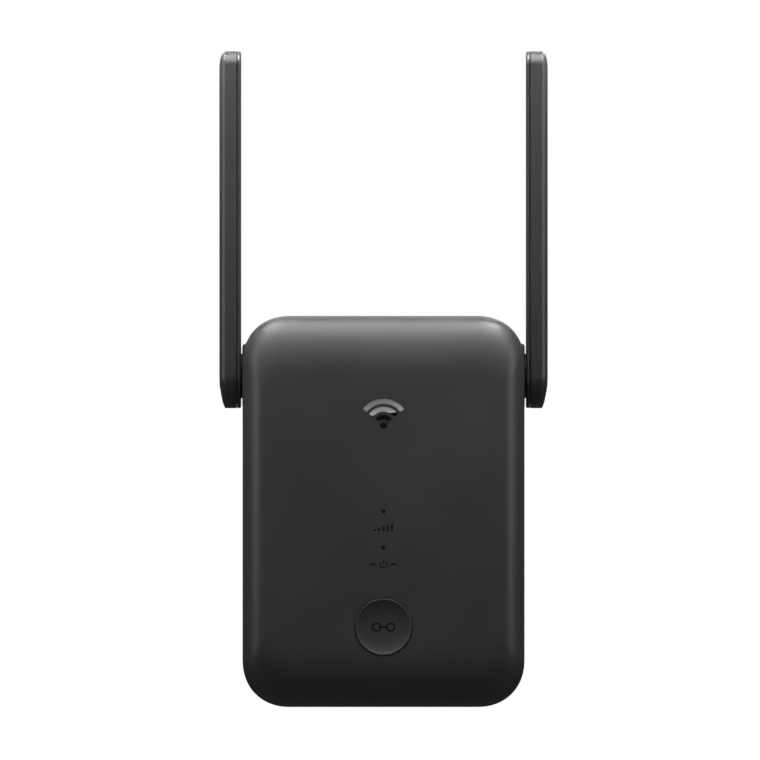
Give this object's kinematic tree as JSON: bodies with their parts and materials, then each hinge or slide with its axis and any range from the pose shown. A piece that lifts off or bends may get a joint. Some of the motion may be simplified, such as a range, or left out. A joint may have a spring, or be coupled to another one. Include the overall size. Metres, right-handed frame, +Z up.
{
  "type": "wifi range extender",
  "caption": "Plug-in wireless range extender: rounded upright case with a dished round pairing button, status lights, a network socket underneath and folding paddle antennas on side hinges.",
  "frame": {"origin": "centre of the plug housing's flat face, which meets the wall socket", "axes": "+Z up along the raised antennas, +Y into the wall along the plug pins, +X to the right seen from the front"},
  "size_m": [0.081, 0.073, 0.1617],
  "materials": {
    "case_plastic": "fine satin texture, charcoal black",
    "dark_plastic": "plain satin",
    "button_plastic": "fine satin texture",
    "plug_plastic": "satin, fine spark-eroded texture",
    "emblem_metal": "brushed inlay",
    "clear_plastic": "translucent light guide",
    "nickel": "nickel plated, polished",
    "steel": "zinc plated",
    "tin_plate": "tinned sheet",
    "gold": "gold plated contacts",
    "copper": "phosphor bronze spring strip",
    "aluminium": "extruded, bead blasted",
    "circuit_board": "solder-mask glass laminate",
    "antenna_board": "thin printed laminate",
    "chip_epoxy": "moulded epoxy",
    "led_resin": "milky resin",
    "silicone": "soft translucent silicone",
    "thermal_pad": "soft filled silicone",
    "ferrite": "sintered ferrite",
    "winding_tape": "polyester tape",
    "capacitor_sleeve": "shrink sleeve",
    "fuse_sleeve": "lacquered",
    "jack_plastic": "glass-filled nylon",
    "coax_jacket": "fluoropolymer jacket"
  },
  "bodies": {
    "housing": {"front_cover": "case_plastic", "rear_cover": "case_plastic", "plug_housing": "plug_plastic", "plug_pin_left": "nickel", "plug_pin_right": "nickel", "pin_sleeve_left": "dark_plastic", "pin_sleeve_right": "dark_plastic", "mains_contact_left": "copper", "mains_contact_right": "copper", "front_emblem": "emblem_metal", "pair_switch_body": "tin_plate", "button_return_pad": "silicone", "light_pipe_signal": "clear_plastic", "light_pipe_power": "clear_plastic", "led_signal": "led_resin", "led_power": "led_resin", "main_board": "circuit_board", "radio_shield": "tin_plate", "processor": "chip_epoxy", "thermal_pad": "thermal_pad", "heat_sink": "aluminium", "memory_chip": "chip_epoxy", "reset_switch_body": "tin_plate", "board_link_header": "jack_plastic", "network_transformer": "chip_epoxy", "ethernet_jack_housing": "jack_plastic", "ethernet_jack_shield": "tin_plate", "ethernet_contacts": "gold", "power_board": "circuit_board", "transformer_core": "ferrite", "transformer_winding": "winding_tape", "input_capacitor": "capacitor_sleeve", "output_capacitor": "capacitor_sleeve", "fuse": "fuse_sleeve", "bridge_rectifier": "chip_epoxy", "case_screw_upper_left": "steel", "case_screw_lower_left": "steel", "case_screw_upper_right": "steel", "case_screw_lower_right": "steel", "board_screw_left": "steel", "board_screw_right": "steel", "left_friction_washer": "steel", "right_friction_washer": "steel", "left_coax_lead": "coax_jacket", "right_coax_lead": "coax_jacket"},
    "left_antenna": {"left_antenna_outer_shell": "case_plastic", "left_antenna_inner_shell": "case_plastic", "left_hinge_shaft": "dark_plastic", "left_retaining_clip": "steel", "left_radiator_board": "antenna_board"},
    "right_antenna": {"right_antenna_outer_shell": "case_plastic", "right_antenna_inner_shell": "case_plastic", "right_hinge_shaft": "dark_plastic", "right_retaining_clip": "steel", "right_radiator_board": "antenna_board"},
    "pair_button": {"pair_button": "button_plastic", "pair_switch_plunger": "dark_plastic"},
    "reset_plunger": {"reset_switch_plunger": "dark_plastic"}
  },
  "joints": [
    {"name": "left_antenna_hinge", "type": "hinge", "parent": "housing", "child": "left_antenna", "pos_m": [-0.0378, -0.0355, 0.0334], "axis": [1, 0, 0], "range_deg": [0, 180]},
    {"name": "right_antenna_hinge", "type": "hinge", "parent": "housing", "child": "right_antenna", "pos_m": [0.0378, -0.0355, 0.0334], "axis": [1, 0, 0], "range_deg": [0, 180]},
    {"name": "pair_button_press", "type": "slide", "parent": "housing", "child": "pair_button", "axis": [0, 1, 0], "range_m": [0, 0.0005], "stiffness_N_per_m": 3000},
    {"name": "reset_press", "type": "slide", "parent": "housing", "child": "reset_plunger", "axis": [0, 0, 1], "range_m": [0, 0.00025], "stiffness_N_per_m": 3000}
  ]
}
